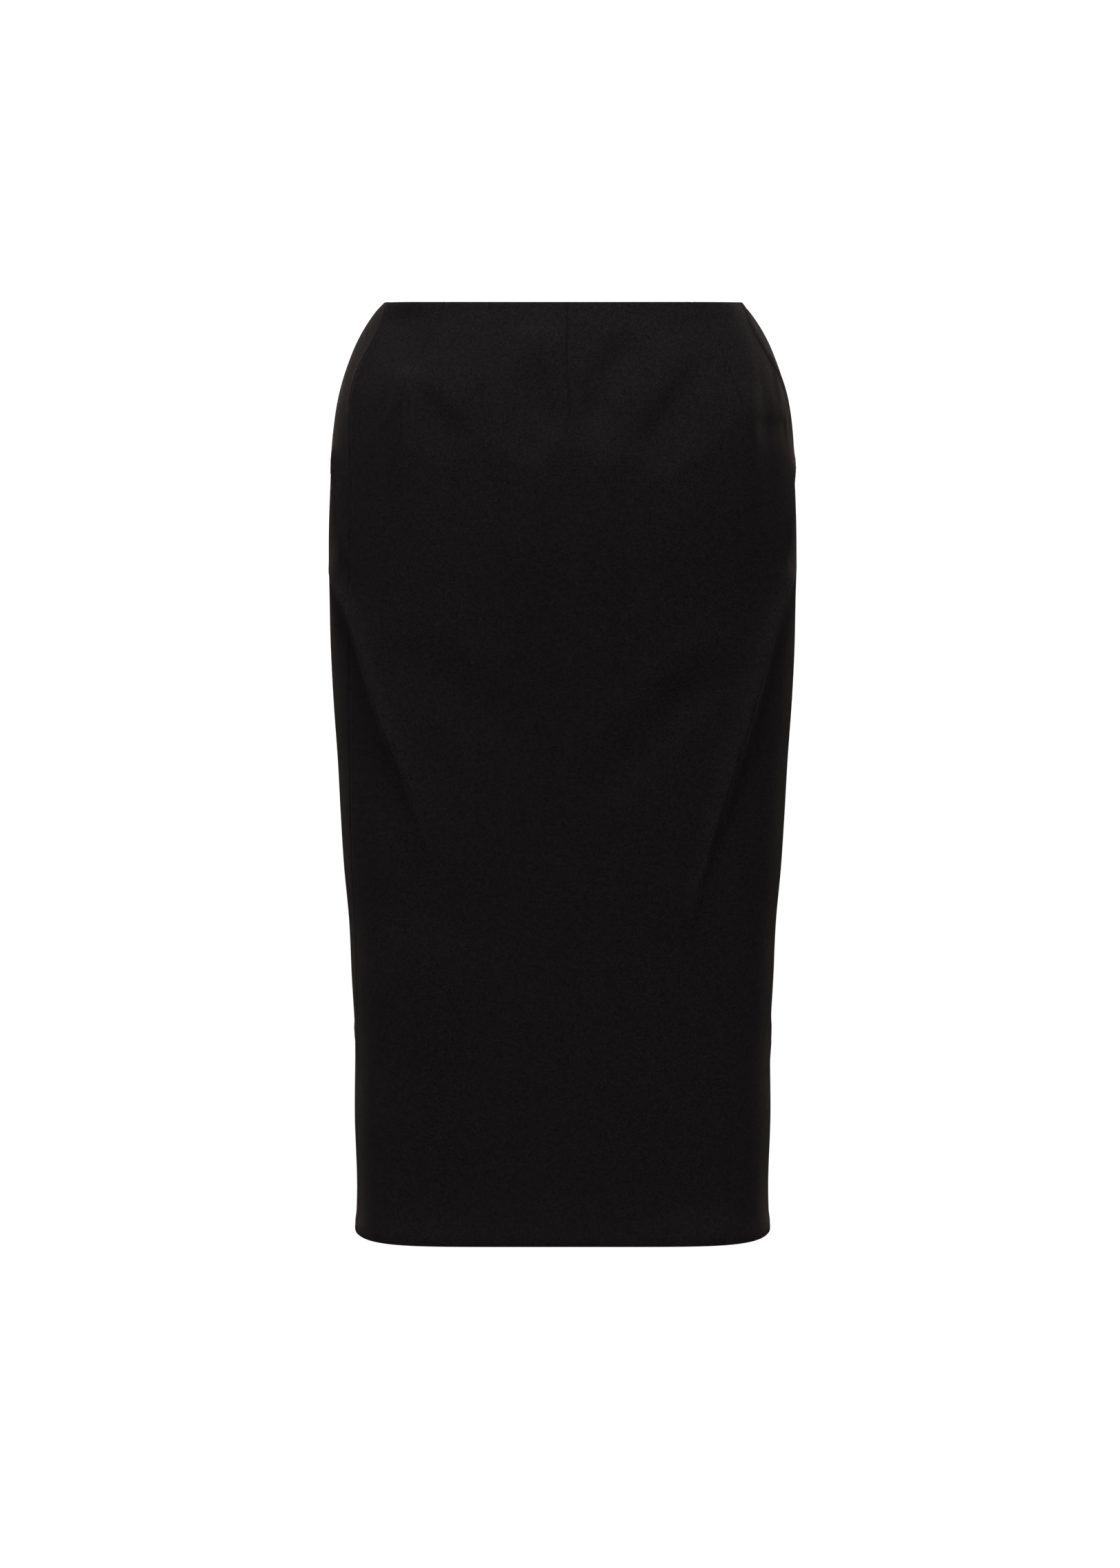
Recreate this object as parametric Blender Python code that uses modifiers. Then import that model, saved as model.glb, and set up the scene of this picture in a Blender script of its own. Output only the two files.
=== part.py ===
"""Pencil skirt in black suiting, filled out as it is worn.

One front panel with three darts, two back panels with a dart each, and a concealed zip in the
centre-back seam, above a walking slit. Left and right are the wearer's. The front faces -Y, the
wearer's left is +X, and the origin is the centre of the waist edge, where the wearer holds it up.

Every point of the cloth is found from two lengths: its drop below the waist edge, and how far
round the cloth it lies from the centre front, plus towards the wearer's left. Tables give lengths
in millimetres. Objects are in metres.
"""
import math
from functools import lru_cache

import bmesh
import bpy
import numpy as np
from mathutils import Matrix, Vector

MM = 0.001
LEFT = 1
RIGHT = -1

# Cloth, in millimetres
SKIRT_LENGTH = 695.0
CLOTH_WALL = 1.5
HEM_WALL = 2.6
HEM_TURN_UP = 44.0
SEAM_GAP = 0.3
SEAM_LIP = 2.0
SEAM_SINK = 0.25
DART_LIP = 1.3
DART_SINK = 0.6
DART_FADE = 12.0
GRID_LIP = 5.0
GRID_LIP_OPENING = 60.0
SLIT_LENGTH = 150.0
SLIT_HALF_SPREAD = 2.0

# Level sections: each half, front or back, is a squared quarter ellipse to either side of its
# widest point. Flatness squares its front and back, roundness its sides; both are 2 on an ellipse
# drop, half width, front depth, back depth, widest point's shift back, flatness, roundness
SECTIONS = (
    (0, 131.7, 93.0, 89.0, 3, 2.05, 2.05),
    (6, 137.9, 95.0, 92.0, 11, 2.05, 2.05),
    (14, 144.1, 97.5, 96.0, 17, 2.05, 2.05),
    (29, 153.0, 101.5, 102.0, 20, 2.08, 2.08),
    (45, 159.6, 105.0, 107.5, 15, 2.10, 2.10),
    (67, 166.3, 108.5, 113.5, 9, 2.13, 2.12),
    (98, 171.3, 111.0, 119.5, 7, 2.18, 2.13),
    (134, 173.4, 112.0, 123.5, 5, 2.25, 2.14),
    (175, 174.6, 112.0, 125.0, 4, 2.35, 2.15),
    (216, 174.2, 110.5, 124.0, 3, 2.50, 2.17),
    (257, 173.4, 108.5, 120.5, 2, 2.70, 2.20),
    (299, 171.3, 106.0, 115.5, 1, 2.95, 2.23),
    (340, 168.4, 103.5, 110.5, 0, 3.25, 2.26),
    (381, 166.2, 101.0, 106.0, 0, 3.65, 2.30),
    (421, 163.8, 98.5, 101.5, 0, 4.10, 2.34),
    (463, 160.0, 96.0, 98.0, 0, 4.60, 2.38),
    (504, 158.2, 94.0, 95.0, 0, 5.05, 2.42),
    (546, 156.0, 92.5, 93.0, 0, 5.45, 2.45),
    (608, 156.4, 91.0, 91.0, 0, 5.90, 2.47),
    (671, 154.9, 90.0, 90.0, 0, 6.30, 2.50),
    (684, 155.5, 90.6, 90.6, 0, 6.40, 2.50),
    (691, 156.5, 91.4, 91.4, 0, 6.40, 2.50),
    (695, 156.3, 91.4, 91.4, 0, 6.40, 2.50),
)

# How far the side seams lie forward of the skirt's middle
# drop, right seam, left seam
SIDE_SEAMS = (
    (0, 21, 7),
    (8, 27, 13),
    (18, 31, 18),
    (30, 34, 18),
    (42, 34, 15),
    (54, 35, 11),
    (67, 38, 9),
    (89, 45, 8),
    (115, 50, 8),
    (180, 55, 9),
    (260, 54, 13),
    (430, 47, 20),
    (600, 37, 25),
    (695, 34, 27),
)

# Darts, by how far round from the centre front they lie, and from the centre back on the back
# drop, round
SIDE_DART_RIGHT = ((0, -90), (12, -95), (28, -103), (43, -110), (57, -117), (70, -120), (86, -120))
CENTRE_DART = ((0, 3.0), (45, 3.2), (88, 5.2))
SIDE_DART_LEFT = ((0, 102), (14, 112), (28, 120), (50, 130), (66, 135), (84, 137))
BACK_DART = ((0, 84), (60, 90), (115, 94))

# Folds: ridges have a positive height and hollows a negative one
# start round, start drop, middle round, middle drop, end round, end drop, height, half width
FOLDS = (
    (-208, 104, -190, 134, -163, 176, 2.2, 8),
    (-228, 118, -209, 154, -186, 200, -1.6, 13),
    (-222, 190, -154, 262, -107, 394, 3.0, 9),
    (-240, 212, -180, 284, -130, 408, -2.4, 17),
    (230, 108, 214, 120, 198, 136, 1.2, 7),
    (224, 142, 203, 167, 188, 200, 1.6, 8),
    (222, 190, 162, 264, 106, 394, 2.8, 9),
    (240, 212, 184, 284, 130, 408, -2.2, 17),
    (126, 256, 84, 288, 40, 328, -1.6, 15),
    (-262, 205, -330, 262, -400, 350, 2.2, 12),
    (262, 212, 322, 258, 392, 330, 2.4, 12),
    (-282, 238, -345, 308, -400, 402, -1.8, 18),
    (280, 242, 342, 306, 398, 380, -1.6, 18),
    (-198, 534, -180, 553, -160, 572, 1.0, 8),
    (212, 536, 192, 555, 170, 572, 1.0, 8),
)
FOLD_RISE = 0.2
FOLD_FADE = 0.5
FOLD_PIECES = 16

# Zip tapes, inside the centre-back seam
TAPE_TOP = 3.0
TAPE_BOTTOM = 205.0
TAPE_WALL = 1.0
TAPE_HALF_SLOT = 1.0
TAPE_WIDTH = 11.0

# Rows of the cloth's grid: to this drop, in this many steps
ROW_BANDS = (
    (TAPE_TOP, 1),
    (24, 3),
    (89, 6),
    (250, 9),
    (420, 8),
    (545, 3),
    (SKIRT_LENGTH - HEM_TURN_UP, 3),
    (SKIRT_LENGTH - HEM_TURN_UP + 2, 1),
    (684, 1),
    (SKIRT_LENGTH, 2),
)
FRONT_STEPS_INNER = 6
FRONT_STEPS_OUTER = 5
BACK_STEPS_OUTER = 10
BACK_STEPS_INNER = 3
BACK_STEP_GROWTH = 1.25

# Concealed zip, in millimetres
TAPE_CLEARANCE = 0.45
BODY_CLEARANCE = 0.45
SLIDER_DROP = 11.0
PARTED_HALF_GAP = 0.95
PARTED_TO = 17.0
CLOSED_FROM = 24.0
SLIDER_BODY = (5.4, 8.0, 2.2)
SLIDER_NECK = (1.1, 4.0)
SLIDER_HEAD = (4.4, 6.0, 0.8)
HEAD_CLEARANCE = 0.35
CHEEK_INSIDE = 1.3
CHEEK_WALL = 0.7
CHEEK_LENGTH = 2.6
PIN_RADIUS = 0.5
PIN_ABOVE_HEAD = 1.8
EYE_RADIUS = 1.35
EYE_HOLE_RADIUS = 0.85
EYE_WIDTH = 1.9
PULL_LENGTH = 21.0
PULL_HALF_WIDTH = 2.7
PULL_NECK_HALF_WIDTH = 0.95
PULL_WALL = 1.0
PULL_LEAN = math.radians(10.0)
ROUND_SIDES = 20
UNION_SINK = 0.1

CLOTH_COLOR = (0.0105, 0.0095, 0.0098, 1.0)
TAPE_COLOR = (0.008, 0.008, 0.008, 1.0)
METAL_COLOR = (0.012, 0.012, 0.012, 1.0)


def clear_scene():
    for item in list(bpy.data.objects):
        bpy.data.objects.remove(item, do_unlink=True)


def collection(name):
    group = bpy.data.collections.new(name)
    bpy.context.scene.collection.children.link(group)
    return group


def material(name, color, roughness, metallic=0.0):
    finish = bpy.data.materials.new(name)
    finish.use_nodes = True
    shader = finish.node_tree.nodes["Principled BSDF"]
    shader.inputs["Base Color"].default_value = color
    shader.inputs["Roughness"].default_value = roughness
    shader.inputs["Metallic"].default_value = metallic
    finish.diffuse_color = color
    return finish


# ---------------------------------------------------------------- the form of the cloth

def at_drop(table, drop):
    """A table's other columns at one drop, on a smooth curve through its rows."""
    rows = np.array(table, dtype=float)
    drops = rows[:, 0]
    slopes = np.gradient(rows, drops, axis=0)
    above = int(np.clip(np.searchsorted(drops, drop) - 1, 0, len(drops) - 2))
    span = drops[above + 1] - drops[above]
    t = (drop - drops[above]) / span
    start = (2 * t**3 - 3 * t**2 + 1) * rows[above] + (t**3 - 2 * t**2 + t) * span * slopes[above]
    end = (3 * t**2 - 2 * t**3) * rows[above + 1] + (t**3 - t**2) * span * slopes[above + 1]
    return (start + end)[1:]


class Ring:
    """One level section, measured round the cloth from the centre front."""

    SAMPLES = 241

    def __init__(self, drop):
        columns = at_drop(SECTIONS, drop)
        self.half_width, front, back, self.shift, self.flatness, self.roundness = columns
        self.front = self.quarter(front + self.shift)
        self.back = self.quarter(back - self.shift)
        self.to_widest = self.front["round"][-1]
        self.to_back = self.to_widest + self.back["round"][-1]

    def quarter(self, depth):
        turn = np.linspace(0.0, math.pi / 2, self.SAMPLES)
        x = self.half_width * np.sin(turn) ** (2 / self.flatness)
        y = depth * np.cos(turn) ** (2 / self.roundness)
        steps = np.hypot(np.diff(x), np.diff(y))
        return {"x": x, "y": y, "depth": depth, "round": np.concatenate(([0.0], np.cumsum(steps)))}

    def place(self, around):
        """Point and outward direction, level, at one length round from the centre front."""
        side = LEFT if around >= 0 else RIGHT
        length = min(abs(around), 2 * self.to_back - abs(around))
        side = side if abs(around) <= self.to_back else -side
        facing = -1 if length <= self.to_widest else 1
        half = self.front if facing < 0 else self.back
        reach = length if facing < 0 else self.to_back - length
        x = float(np.interp(reach, half["round"], half["x"]))
        y = float(np.interp(reach, half["round"], half["y"]))
        sideways = self.flatness * (x / self.half_width) ** (self.flatness - 1) / self.half_width
        endways = self.roundness * (y / half["depth"]) ** (self.roundness - 1) / half["depth"]
        normal = Vector((side * sideways, facing * endways, 0.0)).normalized()
        return Vector((side * x, self.shift + facing * y, 0.0)), normal


@lru_cache(maxsize=None)
def ring(drop):
    return Ring(drop)


def ease(t):
    t = min(max(t, 0.0), 1.0)
    return t * t * (3 - 2 * t)


def fold_path(fold):
    """Points (round, drop) along one fold's crest, on a curve through its three places."""
    start, middle, end = (np.array(fold[place:place + 2], dtype=float) for place in (0, 2, 4))
    pull = 2 * middle - (start + end) / 2
    t = np.linspace(0.0, 1.0, FOLD_PIECES + 1)[:, None]
    return start * (1 - t) ** 2 + pull * 2 * t * (1 - t) + end * t**2


FOLD_PATHS = [fold_path(fold) for fold in FOLDS]


def fold_height(fold, path, around, drop):
    """How far one fold lifts the cloth at a point: a soft swell about the fold's crest."""
    height, half_width = fold[6:]
    reach = 3 * half_width
    low, high = path.min(axis=0) - reach, path.max(axis=0) + reach
    if not (low[0] < around < high[0] and low[1] < drop < high[1]):
        return 0.0
    place = np.array((around, drop))
    runs = path[1:] - path[:-1]
    share = np.clip(((place - path[:-1]) * runs).sum(axis=1) / (runs**2).sum(axis=1), 0.0, 1.0)
    away = np.hypot(*(place - path[:-1] - runs * share[:, None]).T)
    nearest = int(np.argmin(away))
    along = (nearest + share[nearest]) / FOLD_PIECES
    strength = ease(along / FOLD_RISE) * ease((1 - along) / FOLD_FADE)
    return height * strength * math.exp(-((away[nearest] / half_width) ** 2))


def cloth_point(around, drop, sink=0.0):
    """A point of the cloth's outer face, in metres."""
    place, outward = ring(drop).place(around)
    lift = sum(fold_height(*fold, around, drop) for fold in zip(FOLDS, FOLD_PATHS)) - sink
    point = place + outward * lift
    return Vector((point.x, point.y, -drop)) * MM


def cloth_normal(around, drop):
    """The direction out of the cloth, from its points just beside and just below."""
    step = 0.5
    high = max(drop - step, 0.0)
    low = min(drop + step, SKIRT_LENGTH)
    across = cloth_point(around + step, drop) - cloth_point(around - step, drop)
    down = cloth_point(around, low) - cloth_point(around, high)
    return down.cross(across).normalized()


# ---------------------------------------------------------------- seams and darts

def seam(side, drop):
    """How far round from the centre front a side seam lies."""
    right_forward, left_forward = at_drop(SIDE_SEAMS, drop)
    level = ring(drop)
    depth = level.shift + (left_forward if side == LEFT else right_forward)
    half = level.front
    return side * float(np.interp(depth, half["y"][::-1], half["round"][::-1]))


def dart_length(dart):
    return dart[-1][0]


def dart_line(dart, drop, scale=1.0):
    """Where a dart lies at one drop; below its point the line runs on as a grid line."""
    if drop <= dart_length(dart):
        return float(at_drop(dart, drop)[0])
    return dart[-1][1] * scale


def dart_sink(dart, drop):
    return DART_SINK * ease((dart_length(dart) - drop) / DART_FADE)


def dart_lip(dart, drop):
    """Half the width of a dart's groove, which opens into the grid below the dart."""
    return DART_LIP + GRID_LIP * ease((drop - dart_length(dart)) / GRID_LIP_OPENING)


def centre_back_half_gap(drop):
    """Half the gap of the centre-back seam: parted at the slider and spread in the slit."""
    closed = SEAM_GAP / 2
    parted = (PARTED_HALF_GAP - closed) * ease((CLOSED_FROM - drop) / (CLOSED_FROM - PARTED_TO))
    slit_top = SKIRT_LENGTH - SLIT_LENGTH
    spread = (SLIT_HALF_SPREAD - closed) * max(drop - slit_top, 0.0) / SLIT_LENGTH
    return closed + parted + spread


def row_drops():
    drops = [0.0]
    for bottom, steps in ROW_BANDS:
        top = drops[-1]
        drops += [top + (bottom - top) * step / steps for step in range(1, steps + 1)]
    return drops


def spread(start, end, steps, growth=1.0):
    """Places from start to end, without the first, in steps that widen when growth is over 1."""
    return [start + (end - start) * (step / steps) ** growth for step in range(1, steps + 1)]


def front_stations(drop):
    """Grid places of the front panel at one drop, as (around, sink), from right to left."""
    half_gap = SEAM_GAP / 2
    right = seam(RIGHT, drop) + half_gap
    left = seam(LEFT, drop) - half_gap
    stations = [(right, SEAM_SINK), (right + SEAM_LIP, 0.0)]
    darts = (
        (SIDE_DART_RIGHT, RIGHT, FRONT_STEPS_OUTER),
        (CENTRE_DART, LEFT, FRONT_STEPS_INNER),
        (SIDE_DART_LEFT, LEFT, FRONT_STEPS_INNER),
    )
    for dart, side, steps in darts:
        scale = seam(side, drop) / seam(side, dart_length(dart))
        line = dart_line(dart, drop, scale)
        lip = dart_lip(dart, drop)
        stations += [(place, 0.0) for place in spread(stations[-1][0], line - lip, steps)]
        stations += [(line, dart_sink(dart, drop)), (line + lip, 0.0)]
    last = stations[-1][0]
    stations += [(place, 0.0) for place in spread(last, left - SEAM_LIP, FRONT_STEPS_OUTER)]
    stations.append((left, SEAM_SINK))
    return stations


def back_stations(side, drop):
    """Grid places of one back panel at one drop, as (around, sink), from its side seam."""
    to_back = ring(drop).to_back
    start = abs(seam(side, drop)) + SEAM_GAP / 2
    end = to_back - centre_back_half_gap(drop)
    line = to_back - dart_line(BACK_DART, drop)
    lip = dart_lip(BACK_DART, drop)
    places = [(start, SEAM_SINK), (start + SEAM_LIP, 0.0)]
    outer = spread(start + SEAM_LIP, line - lip, BACK_STEPS_OUTER, BACK_STEP_GROWTH)
    places += [(place, 0.0) for place in outer]
    places += [(line, dart_sink(BACK_DART, drop)), (line + lip, 0.0)]
    beside_tape = to_back - TAPE_HALF_SLOT - TAPE_WIDTH
    places += [(place, 0.0) for place in spread(line + lip, beside_tape, BACK_STEPS_INNER)]
    places += [(end - SEAM_LIP, 0.0), (end, SEAM_SINK)]
    stations = [(side * place, sink) for place, sink in places]
    return stations if side == LEFT else stations[::-1]


def sheet(name, rows, wall, finish, group):
    """An open sheet through rows of points, top row first, thickened inwards by Solidify."""
    mesh = bpy.data.meshes.new(name)
    grid = bmesh.new()
    points = [[grid.verts.new(point) for point in row] for row in rows]
    for upper, lower in zip(points, points[1:]):
        for column in range(len(upper) - 1):
            corners = (upper[column], lower[column], lower[column + 1], upper[column + 1])
            grid.faces.new(corners)
    grid.to_mesh(mesh)
    grid.free()
    item = bpy.data.objects.new(name, mesh)
    item.data.materials.append(finish)
    group.objects.link(item)
    thicken = item.modifiers.new("wall", "SOLIDIFY")
    thicken.thickness = wall * MM
    thicken.offset = -1.0
    mesh.shade_smooth()
    return item


def panel(name, stations_at, finish, group):
    """One cut piece of cloth, with its hem turned up and so thicker near the hem edge."""
    drops = row_drops()
    rows = []
    weights = []
    for drop in drops:
        row = [cloth_point(around, drop, sink) for around, sink in stations_at(drop)]
        rows.append(row)
        in_hem = drop > SKIRT_LENGTH - HEM_TURN_UP
        weights += [1.0 if in_hem else CLOTH_WALL / HEM_WALL] * len(row)
    item = sheet(name, rows, HEM_WALL, finish, group)
    walls = item.vertex_groups.new(name="wall")
    for index, weight in enumerate(weights):
        walls.add([index], weight, "REPLACE")
    item.modifiers["wall"].vertex_group = walls.name
    return item


# ---------------------------------------------------------------- concealed zip

def zip_tape(side, finish, group):
    """A strip sewn inside a back panel, beside the centre-back seam, on the panel's own rows."""
    inset = CLOTH_WALL + TAPE_CLEARANCE
    rows = []
    for drop in row_drops():
        if not TAPE_TOP <= drop <= TAPE_BOTTOM:
            continue
        row = []
        for from_back in (TAPE_HALF_SLOT, SEAM_LIP, TAPE_HALF_SLOT + TAPE_WIDTH):
            around = side * (ring(drop).to_back - from_back)
            row.append(cloth_point(around, drop) - cloth_normal(around, drop) * inset * MM)
        rows.append(row[::-1] if side == LEFT else row)
    name = "zip_tape_left" if side == LEFT else "zip_tape_right"
    return sheet(name, rows, TAPE_WALL, finish, group)


def slider_frame():
    """Frame at the slider: X across, Y out of the cloth, Z up along it."""
    around = ring(SLIDER_DROP).to_back
    out = cloth_normal(around, SLIDER_DROP)
    across = Vector((1.0, 0.0, 0.0))
    up = across.cross(out).normalized()
    turn = Matrix((across, out, up)).transposed()
    return Matrix.Translation(cloth_point(around, SLIDER_DROP)) @ turn.to_4x4()


def block(name, size, centre, frame, group):
    """A box, sized and placed in millimetres in a local frame."""
    mesh = bpy.data.meshes.new(name)
    box = bmesh.new()
    bmesh.ops.create_cube(box, size=1.0)
    bmesh.ops.scale(box, vec=Vector(size) * MM, verts=box.verts)
    bmesh.ops.translate(box, vec=Vector(centre) * MM, verts=box.verts)
    box.to_mesh(mesh)
    box.free()
    item = bpy.data.objects.new(name, mesh)
    item.matrix_world = frame
    group.objects.link(item)
    return item


def cross_rod(name, radius, width, frame, group):
    """A cylinder along local X, centred on the local origin."""
    mesh = bpy.data.meshes.new(name)
    rod = bmesh.new()
    bmesh.ops.create_cone(
        rod, cap_ends=True, segments=ROUND_SIDES,
        radius1=radius * MM, radius2=radius * MM, depth=width * MM,
        matrix=Matrix.Rotation(math.pi / 2, 4, "Y"),
    )
    rod.to_mesh(mesh)
    rod.free()
    item = bpy.data.objects.new(name, mesh)
    item.matrix_world = frame
    group.objects.link(item)
    return item


def combine(item, operation, other):
    """A Boolean with another solid, which then serves only as a cutter or a guide."""
    step = item.modifiers.new(other.name, "BOOLEAN")
    step.operation = operation
    step.object = other
    other.hide_render = True
    other.display_type = "WIRE"


def zip_slider(frame, finish, group, helpers):
    """Body inside the seam, neck through it, and a head outside with the pull's pin."""
    inside = CLOTH_WALL + TAPE_CLEARANCE + TAPE_WALL + BODY_CLEARANCE
    width, height, depth = SLIDER_BODY
    neck_width, neck_height = SLIDER_NECK
    head_width, head_height, head_wall = SLIDER_HEAD
    head_top = HEAD_CLEARANCE + head_wall
    item = block("zip_slider", (width, depth, height), (0, -inside - depth / 2, 0), frame, group)
    item.data.materials.append(finish)
    neck_low = -inside - UNION_SINK
    neck_high = HEAD_CLEARANCE + UNION_SINK
    parts = [
        block("neck", (neck_width, neck_high - neck_low, neck_height),
              (0, (neck_low + neck_high) / 2, 0), frame, helpers),
        block("head", (head_width, head_wall, head_height),
              (0, HEAD_CLEARANCE + head_wall / 2, 0), frame, helpers),
    ]
    cheek_rise = PIN_ABOVE_HEAD + PIN_RADIUS + CHEEK_WALL
    for side in (LEFT, RIGHT):
        centre = (
            side * (CHEEK_INSIDE + CHEEK_WALL / 2),
            head_top - UNION_SINK + (cheek_rise + UNION_SINK) / 2,
            0,
        )
        size = (CHEEK_WALL, cheek_rise + UNION_SINK, CHEEK_LENGTH)
        parts.append(block("cheek", size, centre, frame, helpers))
    pin_frame = frame @ Matrix.Translation(Vector((0, head_top + PIN_ABOVE_HEAD, 0)) * MM)
    pin_width = 2 * CHEEK_INSIDE + CHEEK_WALL
    parts.append(cross_rod("pin", PIN_RADIUS, pin_width, pin_frame, helpers))
    for part in parts:
        combine(item, "UNION", part)
    return item


def pull_outline():
    """A teardrop, from the eye down to a round end, as (across, along) pairs."""
    end_radius = PULL_HALF_WIDTH
    centre = -(PULL_LENGTH - end_radius)
    neck = (PULL_NECK_HALF_WIDTH, 0.0)
    reach = math.hypot(centre, neck[0])
    tangent = math.acos((end_radius - neck[0]) / reach)
    arc_steps = 10
    first = math.pi / 2 - tangent
    turns = [first - (math.pi / 2 + first) * step / arc_steps for step in range(arc_steps + 1)]
    right = [neck] + [
        (end_radius * math.cos(turn), centre + end_radius * math.sin(turn)) for turn in turns
    ]
    left = [(-across, along) for across, along in right[-2::-1]]
    return right + left


def zip_pull(frame, finish, group, helpers):
    """Teardrop tab whose eye turns on the slider's pin; its origin is on the pin's axis."""
    hinge = bpy.data.objects.new("pull_axis", None)
    hinge.matrix_world = frame
    group.objects.link(hinge)
    lean = Matrix.Rotation(-PULL_LEAN, 4, "X")
    outline = bpy.data.curves.new("pull_outline", "CURVE")
    outline.dimensions = "2D"
    outline.fill_mode = "BOTH"
    outline.extrude = PULL_WALL / 2 * MM
    spline = outline.splines.new("POLY")
    points = pull_outline()
    spline.points.add(len(points) - 1)
    for point, (across, along) in zip(spline.points, points):
        point.co = (across * MM, along * MM, 0.0, 1.0)
    spline.use_cyclic_u = True
    flat = bpy.data.objects.new("pull_flat", outline)
    helpers.objects.link(flat)
    bpy.context.view_layer.update()
    mesh = bpy.data.meshes.new_from_object(flat.evaluated_get(bpy.context.evaluated_depsgraph_get()))
    bpy.data.objects.remove(flat)
    weld = bmesh.new()
    weld.from_mesh(mesh)
    bmesh.ops.remove_doubles(weld, verts=weld.verts, dist=0.00001)
    bmesh.ops.rotate(weld, verts=weld.verts, matrix=Matrix.Rotation(math.pi / 2, 3, "X"))
    bmesh.ops.recalc_face_normals(weld, faces=weld.faces)
    weld.to_mesh(mesh)
    weld.free()
    item = bpy.data.objects.new("zip_pull", mesh)
    item.data.materials.append(finish)
    group.objects.link(item)
    item.parent = hinge
    item.matrix_world = frame @ lean
    combine(item, "UNION", cross_rod("eye", EYE_RADIUS, EYE_WIDTH, frame, helpers))
    combine(item, "DIFFERENCE", cross_rod("eye_hole", EYE_HOLE_RADIUS, 3 * EYE_WIDTH, frame, helpers))
    return item


def build():
    clear_scene()
    skirt = collection("pencil_skirt")
    helpers = collection("helpers")
    suiting = material("suiting", CLOTH_COLOR, 0.85)
    for name, stations_at in (
        ("front_panel", front_stations),
        ("back_left_panel", lambda drop: back_stations(LEFT, drop)),
        ("back_right_panel", lambda drop: back_stations(RIGHT, drop)),
    ):
        finish = suiting.copy()
        finish.name = name + "_suiting"
        panel(name, stations_at, finish, skirt)
    for side in (LEFT, RIGHT):
        zip_tape(side, material("zip_tape", TAPE_COLOR, 0.9), skirt)
    frame = slider_frame()
    zip_slider(frame, material("slider_metal", METAL_COLOR, 0.35, 0.6), skirt, helpers)
    pin_height = HEAD_CLEARANCE + SLIDER_HEAD[2] + PIN_ABOVE_HEAD
    pin_frame = frame @ Matrix.Translation(Vector((0, pin_height, 0)) * MM)
    zip_pull(pin_frame, material("pull_metal", METAL_COLOR, 0.35, 0.6), skirt, helpers)
    bpy.context.view_layer.update()


build()
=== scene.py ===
"""The looks of the pencil skirt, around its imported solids.

Fine cloth panels stand for the front and back panels: cut pieces with their seam allowances,
turned-in waist, hem turn-up, darts and folds. They're placed as the solids are, by two lengths:
the drop below the waist edge, and how far round the cloth a point lies from the centre front,
plus towards the wearer's left. The tables and the cloth's arithmetic are in millimetres.
"""

import math

import bpy
import numpy as np
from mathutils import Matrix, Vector


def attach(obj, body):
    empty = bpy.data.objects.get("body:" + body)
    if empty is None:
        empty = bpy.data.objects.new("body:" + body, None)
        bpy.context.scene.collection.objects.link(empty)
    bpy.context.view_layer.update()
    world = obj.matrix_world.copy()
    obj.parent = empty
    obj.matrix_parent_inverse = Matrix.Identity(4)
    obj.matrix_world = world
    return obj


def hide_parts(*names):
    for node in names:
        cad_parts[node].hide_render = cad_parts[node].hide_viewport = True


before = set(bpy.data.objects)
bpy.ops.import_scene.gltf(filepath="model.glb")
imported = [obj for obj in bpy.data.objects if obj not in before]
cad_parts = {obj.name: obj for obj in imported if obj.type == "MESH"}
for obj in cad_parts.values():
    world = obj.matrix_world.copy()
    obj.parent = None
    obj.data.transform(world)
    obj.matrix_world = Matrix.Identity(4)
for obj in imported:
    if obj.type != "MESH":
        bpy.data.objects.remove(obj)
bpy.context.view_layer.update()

MM = 0.001
LEFT = 1
RIGHT = -1

SKIRT_LENGTH = 695.0
SLIT_LENGTH = 150.0
SLIT_TOP = SKIRT_LENGTH - SLIT_LENGTH
SLIT_HALF_SPREAD = 2.0

# The panels' edges meet at the seams, with an overlap that lets no light through. Down to one
# drop they part for the slider at the centre back, and they're closed from the next
SEAM_OVERLAP = 0.04
PARTED_HALF_GAP = 0.95
PARTED_TO = 17.0
CLOSED_FROM = 24.0

# The cloth as cut. A folded edge is EDGE_FOLD thick, and a pressed allowance ALLOWANCE_SINK deep
CLOTH_THICK = 0.55
WAIST_TURN = 10.0
HEM_TURN_UP = 44.0
EDGE_FOLD = 2.65
ALLOWANCE_SINK = 1.3
SEAM_ALLOWANCE = 13.0
SLIT_FACING = 30.0
FACING_EASE = 25.0
DART_INTAKE = 22.0
DART_LENGTH = 88.0

# Within WAIST_CUT_BACK of the centre back, this share is left of the waist's turned-in edge
WAIST_CUT_BACK = 14.0
CUT_BACK_EASE = 2.5
CUT_BACK_KEPT = 0.08

# The zip. Its coil is wound as an oval, COIL_FLATNESS as deep as it's wide
TAPE_INNER_FACE = 2.95
TAPE_EDGE = 12.0
TAPE_TOP = 3.0
TAPE_STITCHES_AT = (5.6, TAPE_EDGE - 1.6)
TAPE_STITCH_MARGIN = 2.0
COIL_TOP = 15.8
COIL_BOTTOM = 203.0
COIL_PITCH = 1.1
COIL_RADIUS = 1.1
COIL_FLATNESS = 0.62
COIL_WIRE = 0.24
COIL_CLEARANCE = 0.08
COIL_OFFSET = 0.85

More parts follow.
